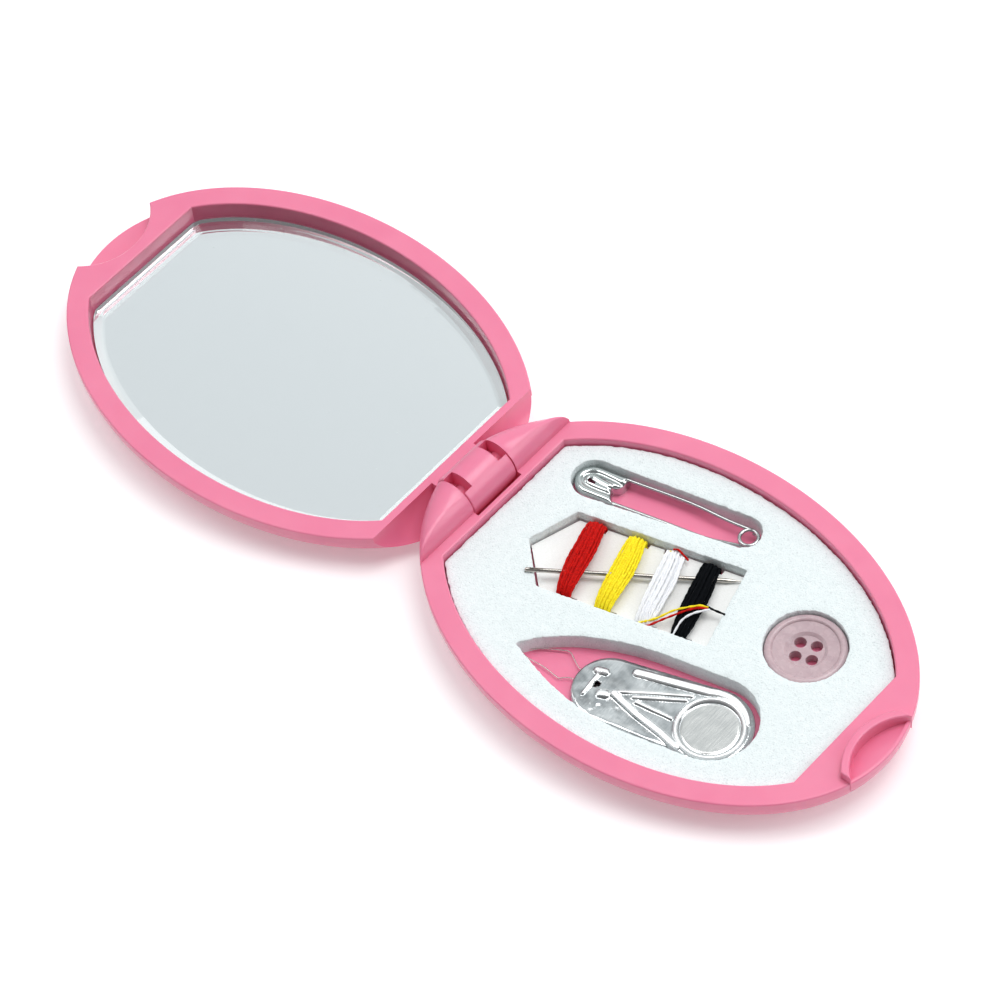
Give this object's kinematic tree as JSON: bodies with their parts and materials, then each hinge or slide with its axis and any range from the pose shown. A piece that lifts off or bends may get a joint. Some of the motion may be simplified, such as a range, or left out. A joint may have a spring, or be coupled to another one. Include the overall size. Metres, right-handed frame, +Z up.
{
  "type": "pocket sewing kit compact",
  "caption": "Hinged oval pocket compact with a bevelled mirror in the lid and a foam tray of sewing notions in the base.",
  "frame": {"origin": "middle of the open compact's underside, straight below the hinge axis, on the surface it lies on", "axes": "+X from the hinge towards the base's catch, +Y along the hinge axis, +Z up out of the open trays"},
  "size_m": [0.144, 0.0524, 0.0098],
  "materials": {
    "pink_plastic": "moulded, satin to semi-gloss",
    "mirror_glass": "silvered glass with a ground bevel",
    "adhesive_film": "thin double-sided film",
    "white_foam": "fine closed-cell foam, matt, with small pores",
    "steel_wire": "bright nickel-plated wire",
    "pin_cap_steel": "bright nickel-plated pressed sheet",
    "needle_steel": "polished steel",
    "white_card": "uncoated white card",
    "red_thread": "twisted sewing thread",
    "yellow_thread": "twisted sewing thread",
    "white_thread": "twisted sewing thread",
    "black_thread": "twisted sewing thread",
    "pearl_button": "translucent, glossy",
    "pressed_foil": "thin pressed sheet, bright and slightly crumpled",
    "fine_wire": "bright spring wire"
  },
  "bodies": {
    "base": {"base_shell": "pink_plastic", "foam_insert": "white_foam", "foam_adhesive": "adhesive_film"},
    "lid": {"lid_shell": "pink_plastic", "mirror_glass": "mirror_glass", "mirror_adhesive": "adhesive_film"},
    "safety_pin": {"pin_back_wire": "steel_wire", "pin_cap": "pin_cap_steel"},
    "pin_arm": {"pin_arm": "steel_wire"},
    "thread_card": {"thread_card": "white_card", "thread_red": "red_thread", "thread_yellow": "yellow_thread", "thread_white": "white_thread", "thread_black": "black_thread"},
    "needle": {"needle": "needle_steel"},
    "button": {"button": "pearl_button"},
    "needle_threader": {"threader_front": "pressed_foil", "threader_back": "pressed_foil", "threader_wire": "fine_wire"}
  },
  "joints": [
    {"name": "lid_hinge", "type": "hinge", "parent": "base", "child": "lid", "pos_m": [0, 0, 0.00629], "axis": [0, -1, 0], "range_deg": [-180, 0]},
    {"name": "pin_lift", "type": "slide", "parent": "base", "child": "safety_pin", "axis": [0, 0, 1], "range_m": [0, 0.012]},
    {"name": "pin_press", "type": "hinge", "parent": "safety_pin", "child": "pin_arm", "pos_m": [0.03445, 0.01685, 0.00269], "axis": [0, 0, -1], "range_deg": [0, 5], "stiffness_Nm_per_rad": 0.01},
    {"name": "card_lift", "type": "slide", "parent": "base", "child": "thread_card", "axis": [0, 0, 1], "range_m": [0, 0.012]},
    {"name": "needle_slide", "type": "slide", "parent": "thread_card", "child": "needle", "axis": [-0.8016, -0.5956, 0.0518], "range_m": [0, 0.01]},
    {"name": "button_lift", "type": "slide", "parent": "base", "child": "button", "axis": [0, 0, 1], "range_m": [0, 0.012]},
    {"name": "threader_lift", "type": "slide", "parent": "base", "child": "needle_threader", "axis": [0, 0, 1], "range_m": [0, 0.012]}
  ]
}
